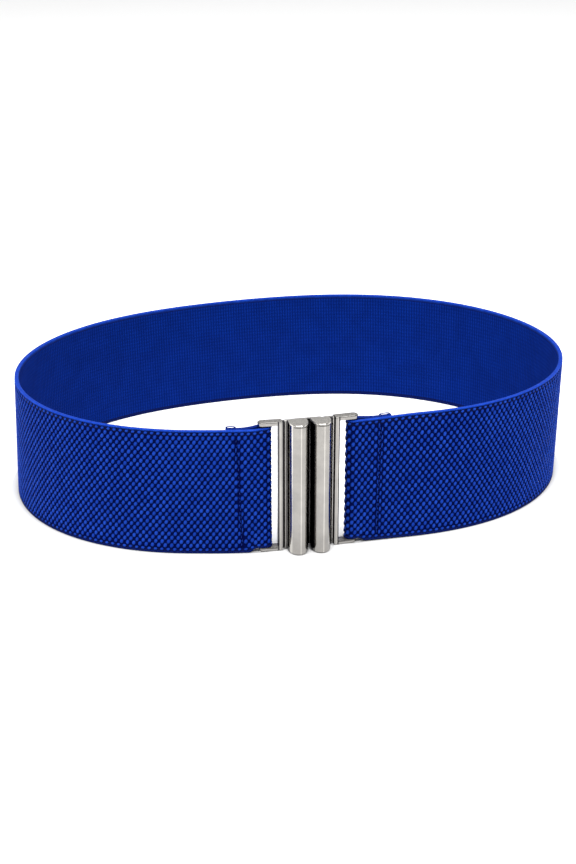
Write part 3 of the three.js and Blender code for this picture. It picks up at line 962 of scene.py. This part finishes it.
def hem_threads():
    """A loose loop of thread over the top of each hem."""
    finish = loose_thread()
    turns = np.linspace(0, 2 * math.pi, THREAD_POINTS, endpoint=False)
    half_length, half_height = THREAD_LOOP[0] / 2, THREAD_LOOP[1] / 2
    for side, name in ((-1, "thread_left"), (1, "thread_right")):
        middle = run_at(side, "back", HEM_REACH - half_length - HEM_MARGIN / 2)
        height = BAND_WIDTH + half_height * (1 + np.sin(turns))
        places = strip_place(middle + half_length * np.cos(turns), height, 0.0) + BELT_SHIFT
        curve = bpy.data.curves.new(name, "CURVE")
        curve.dimensions = "3D"
        curve.bevel_depth = THREAD_RADIUS * MM
        curve.bevel_resolution = 1
        line = curve.splines.new("POLY")
        line.points.add(len(places) - 1)
        line.points.foreach_set("co", np.column_stack([places * MM, np.ones(len(places))]).ravel())
        line.use_cyclic_u = True
        mesh = evaluated_mesh(show(name, curve), name)
        mesh.materials.clear()
        mesh.materials.append(finish)
        hand_in(name, mesh, "elastic")


# Buckle

def arc(centre, radii, start, end, steps):
    """Points of an ellipse's arc between two angles in degrees."""
    turns = np.radians(np.linspace(start, end, steps + 1))
    return np.stack([np.cos(turns), np.sin(turns)], axis=-1) * radii + centre


def bar_outline(middle):
    """D-section of an upright bar: flat back, rounded back corners, straight cheeks, round front."""
    half = BAR_WIDTH / 2
    shoulder = BUCKLE_BACK - BAR_CORNER
    corner = (BAR_CORNER, BAR_CORNER)
    return np.concatenate([
        arc((middle - half + BAR_CORNER, shoulder), corner, 180, 90, CORNER_STEPS),
        arc((middle + half - BAR_CORNER, shoulder), corner, 90, 0, CORNER_STEPS),
        arc((middle, BUCKLE_BACK - BAR_CHEEK), (half, BAR_DEPTH - BAR_CHEEK), 0, -180, FRONT_STEPS),
    ])[::-1]


def upright(name, outline, low, high, rounding, steps=ROUNDING_STEPS):
    """An upright prism over an anticlockwise outline, with rounded ends."""
    before, after = np.roll(outline, 1, axis=0), np.roll(outline, -1, axis=0)
    run = after - before
    run /= np.linalg.norm(run, axis=1, keepdims=True)
    inward = np.stack([-run[:, 1], run[:, 0]], axis=-1)
    turns = np.linspace(0, math.pi / 2, steps + 1)
    ends = [(rounding * (1 - math.sin(turn)), rounding * (1 - math.cos(turn))) for turn in turns]
    levels = [(inset, low + rise) for inset, rise in ends]
    levels += [(inset, high - rise) for inset, rise in ends[::-1]]
    size = len(outline)
    rings = [np.column_stack([outline + inward * inset, np.full(size, z)]) for inset, z in levels]
    last = (len(levels) - 1) * size
    faces = quads(len(levels) - 1, size)
    faces += [list(range(size))[::-1], list(range(last, last + size))]
    return show(name, mesh_of(name, np.concatenate(rings), faces, []))


def rectangle(side, reaches):
    """An anticlockwise rectangle between two reaches and two depths behind the upright bars' backs."""
    (near, far), (front, back) = reaches
    left, right = sorted(BUCKLE_OFFSET + side * reach for reach in (near, far))
    low, high = BUCKLE_BACK + front, BUCKLE_BACK + back
    return np.array([(left, low), (right, low), (right, high), (left, high)])


def frame_body(side, inset):
    """A frame without its window, square beside the upright bar, round at its outer end and inset."""
    half = FRAME_DEPTH / 2 - inset
    end = arc((FRAME_END - FRAME_DEPTH / 2, 0), (half, half), -90, 90, FRAME_END_STEPS)
    plan = np.concatenate([[(FRAME_START, half), (FRAME_START, -half)], end])
    outline = np.array([frame_point(side, *point) for point in plan])[::side]
    return upright("frame_body", outline, FRAME_LIFT, FRAME_TOP, FRAME_EDGE)


def frame_solid(side):
    """A frame with a window for the elastic and a thin outer bar."""
    half = FRAME_DEPTH / 2
    far = FRAME_END + OUTER_BAR_WIDTH
    opening = [(WINDOW_START, -2 * half), (far, -2 * half), (far, 2 * half), (WINDOW_START, 2 * half)]
    bar_radii = (OUTER_BAR_WIDTH / 2, OUTER_BAR_DEPTH / 2)
    bar = arc((OUTER_BAR_REACH, OUTER_BAR_SET), bar_radii, 0, 360, OUTER_BAR_SIDES)[:-1]
    opening, bar = (
        np.array([frame_point(side, *point) for point in outline])[::side] for outline in (opening, bar)
    )
    gap = upright("window", opening, WINDOW_BOTTOM, WINDOW_TOP, 0.0, 1)
    outer_bar = upright("outer_bar", bar, WINDOW_BOTTOM - JOIN, WINDOW_TOP + JOIN, 0.0, 1)
    trimmed_bar = combine(outer_bar, "INTERSECT", frame_body(side, BAR_TRIM))
    return combine(combine(frame_body(side, 0.0), "DIFFERENCE", gap), "UNION", trimmed_bar)


def combine(made, operation, *others):
    """Joins solids to a solid or cuts them from it."""
    for other in others:
        modifier = made.modifiers.new("combine", "BOOLEAN")
        modifier.operation = operation
        modifier.solver = "EXACT"
        modifier.object = other
    mesh = evaluated_mesh(made, made.name)
    for other in others:
        bpy.data.objects.remove(other)
    return show(mesh.name, mesh)


def casting_body(side):
    """What both castings share: the upright bar, its bead and rib, and the frame with its window."""
    bar = upright("bar", bar_outline(BUCKLE_OFFSET + side * BAR_MIDDLE), 0, BAR_TOP, BAR_END_ROUNDING)
    bead_middle = (BUCKLE_OFFSET + side * (BEAD_SIDE - BEAD_RADIUS), FRAME_MIDDLE)
    bead = arc(bead_middle, (BEAD_RADIUS, BEAD_RADIUS), 0, 360, BEAD_SIDES)[:-1]
    rib = rectangle(side, ((BAR_SIDE - RIB_UNDER_BAR, FRAME_START + JOIN), (-JOIN, RIB_THICKNESS)))
    return combine(
        bar, "UNION",
        upright("bead", bead, FRAME_LIFT, FRAME_TOP, FRAME_EDGE),
        upright("rib", rib, *PLATE_HEIGHTS, 0.0, 1),
        frame_solid(side),
    )


LIP_REACH = (BAR_MIDDLE - LIP_THICKNESS / 2, BAR_MIDDLE + LIP_THICKNESS / 2)
HOOK_HEIGHTS = ((BAR_TOP - HOOK_HEIGHT) / 2, (BAR_TOP + HOOK_HEIGHT) / 2)
TONGUE_BACK = SEAT_GAP + TONGUE_THICKNESS


def hook_casting():
    """Left casting: a tongue leaves the back of its bar, passes behind the other and turns into it."""
    root_end = -BAR_SLIT / 2 - BAR_CORNER
    tip = LIP_REACH[1] + CAST_EDGE
    tongue = np.array([
        (-TONGUE_ROOT, -2 * JOIN), (root_end, -2 * JOIN), (root_end, SEAT_GAP), (tip, SEAT_GAP),
        (tip, TONGUE_BACK), (-TONGUE_ROOT, TONGUE_BACK),
    ]) + np.array([BUCKLE_OFFSET, BUCKLE_BACK])
    lip = rectangle(1, (LIP_REACH, (SEAT_GAP - LIP_LENGTH, SEAT_GAP + JOIN)))
    return combine(
        casting_body(-1), "UNION",
        upright("tongue", tongue, PLATE_HEIGHTS[0] + CAST_EDGE, PLATE_HEIGHTS[1] - CAST_EDGE, 0.0, 1),
        upright("lip", lip, *HOOK_HEIGHTS, 0.0, 1),
    )


def groove_casting():
    """Right casting: the back of its bar has a groove for the lip."""
    low, high = LIP_REACH
    groove = rectangle(1, ((low - SEAT_GAP, high + SEAT_GAP), (-LIP_LENGTH, JOIN)))
    heights = (HOOK_HEIGHTS[0] - SEAT_GAP, HOOK_HEIGHTS[1] + SEAT_GAP)
    return combine(casting_body(1), "DIFFERENCE", upright("groove", groove, *heights, 0.0, 1))


def buckle_piece(name, casting, node, side, ends):
    """Breaks a casting's sharp edges, paints it and shows it in its node's place."""
    modifier = casting.modifiers.new("edges", "BEVEL")
    modifier.width = CAST_EDGE * MM
    modifier.segments = 2
    modifier.limit_method = "ANGLE"
    modifier.angle_limit = BROKEN_ANGLE
    mesh = evaluated_mesh(casting, name)
    mesh.transform(Matrix.Translation(Vector(BELT_SHIFT * MM)))
    mesh.materials.clear()
    mesh.materials.append(polished_nickel(side))
    mesh.materials.append(ends)
    for polygon in mesh.polygons:
        polygon.material_index = 1 if abs(polygon.normal.z) > END_FACING else 0
    mesh.shade_smooth()
    mesh.set_sharp_from_angle(angle=SHARP_ANGLE)
    hand_in(name, mesh, "metal", node)


# Stage, light and camera

FLOOR_SIZE = 12.0
FLOOR_DROP = 0.02
SHADE_REACHES = np.array([0.4, 0.8, 1.3, 2.0, 3.0, 4.5])
SHADE_DROPS = (0.012, 0.018)
SHADE_STEPS = 600
LAMP_SIZE = (2.0, 1.4)
LAMP_POWER = 80
LAMP_PLACE = (-0.1, -0.7, 1.6)
LAMP_TILT = (math.radians(20), math.radians(-3), 0)
CAMERA_TARGET = (-1.34, -0.9, 18.89)
CAMERA_AZIMUTH = math.radians(-12.53)
CAMERA_ELEVATION = math.radians(22.67)
CAMERA_DISTANCE = 716.7
CAMERA_LENS = 58.33


def floor():
    """A pale floor, less bright in front of the belt than inside the loop and far away."""
    finish = Finish("white_floor", roughness=0.7)
    speckle = finish.spread(finish.noise(30.0), 0.3, 0.7)
    x, y = finish.place()[:2]
    before_belt = finish.mix(speckle, (0.455, 0.453, 0.45, 1), (0.47, 0.468, 0.465, 1))
    near = finish.mix(finish.spread(y, -0.1, -0.08), before_belt, (0.8, 0.8, 0.8, 1))
    apart = finish.node("ShaderNodeCombineXYZ", {0: x, 1: finish.math("ADD", y, 0.2)}).outputs[0]
    distance = finish.node("ShaderNodeVectorMath", {0: apart}, operation="LENGTH").outputs["Value"]
    finish.colour(finish.mix(finish.spread(distance, 0.25, 0.9), near, (0.9, 0.9, 0.9, 1)))
    half = FLOOR_SIZE / 2 / MM
    corners = [(x * half, y * half, -FLOOR_DROP) for x, y in ((-1, -1), (1, -1), (1, 1), (-1, 1))]
    show("floor", mesh_of("floor", corners, [(0, 1, 2, 3)], [finish.material]))


def contact_shade():
    """A painted soft shadow on the floor along the foot of the belt: a darker ribbon laid just above the
    floor.
    """
    finish = Finish("shaded_floor", roughness=0.7)
    # Painted shadow: darker towards the belt.
    finish.colour(finish.mix(finish.own("shade"), (0.6, 0.6, 0.6, 1), (0.22, 0.215, 0.21, 1)))
    along = np.linspace(0, STRIP_LENGTH, SHADE_STEPS)[:, None]
    plan = line_at(along) + outward_at(along) * SHADE_REACHES[:, None]
    size = len(SHADE_REACHES)
    heights = -np.linspace(*SHADE_DROPS, size) + 0 * along
    places = np.concatenate([plan, heights[..., None]], axis=-1) + BELT_SHIFT
    faces = quads(SHADE_STEPS - 1, size, closed=False)
    mesh = mesh_of("contact_shade", places, faces, [finish.material])
    carry(mesh, "shade", np.tile(np.linspace(1, 0, size) ** 1.5, SHADE_STEPS))
    show("contact_shade", mesh)


def studio():
    """A room that is white behind and beside the belt and darker before it, and a wide soft light."""
    world = bpy.data.worlds.new("studio")
    world.use_nodes = True
    tree = world.node_tree
    way = add_node(tree, "ShaderNodeTexCoord").outputs["Generated"]
    apart = add_node(tree, "ShaderNodeSeparateXYZ", {0: way}).outputs
    aside = add_node(tree, "ShaderNodeMath", {0: apart[0]}, operation="ABSOLUTE").outputs[0]
    behind = {"Value": apart[1], "From Min": -0.4, "From Max": 0.4, "To Min": 0.35, "To Max": 1.0}
    beside = {"Value": aside, "From Min": 0.7, "From Max": 0.95, "To Min": 0.0, "To Max": 1.6}
    lights = [add_node(tree, "ShaderNodeMapRange", limits).outputs[0] for limits in (behind, beside)]
    whole = add_node(tree, "ShaderNodeMath", dict(enumerate(lights)))
    background = tree.nodes["Background"].inputs
    background["Color"].default_value = (1.0, 1.0, 1.0, 1.0)
    tree.links.new(whole.outputs[0], background["Strength"])
    bpy.context.scene.world = world
    lamp = bpy.data.lights.new("overhead", "AREA")
    lamp.shape = "RECTANGLE"
    lamp.size, lamp.size_y = LAMP_SIZE
    lamp.energy = LAMP_POWER
    made = show("overhead", lamp)
    made.location = LAMP_PLACE
    made.rotation_euler = LAMP_TILT


def camera():
    """The camera at the photo's angle."""
    lens = bpy.data.cameras.new("camera")
    lens.lens = CAMERA_LENS
    made = show("camera", lens)
    back = Vector((
        math.sin(CAMERA_AZIMUTH) * math.cos(CAMERA_ELEVATION),
        -math.cos(CAMERA_AZIMUTH) * math.cos(CAMERA_ELEVATION),
        math.sin(CAMERA_ELEVATION),
    ))
    made.location = (Vector(CAMERA_TARGET) + back * CAMERA_DISTANCE) * MM
    made.rotation_euler = (-back).to_track_quat("-Z", "Y").to_euler()
    lens.clip_start = 0.01
    lens.clip_end = 30
    bpy.context.scene.camera = made
    bpy.context.scene.view_settings.view_transform = "Standard"


camera()
studio()
floor()
contact_shade()
hand_in("elastic_wall", elastic_wall(), "elastic", "elastic_band")
knit_pieces()
seam_pieces()
hem_threads()
ends = cast_nickel()
buckle_piece("hook_half", hook_casting(), "buckle_hook_half", -1, ends)
buckle_piece("groove_half", groove_casting(), "buckle_groove_half", 1, ends)
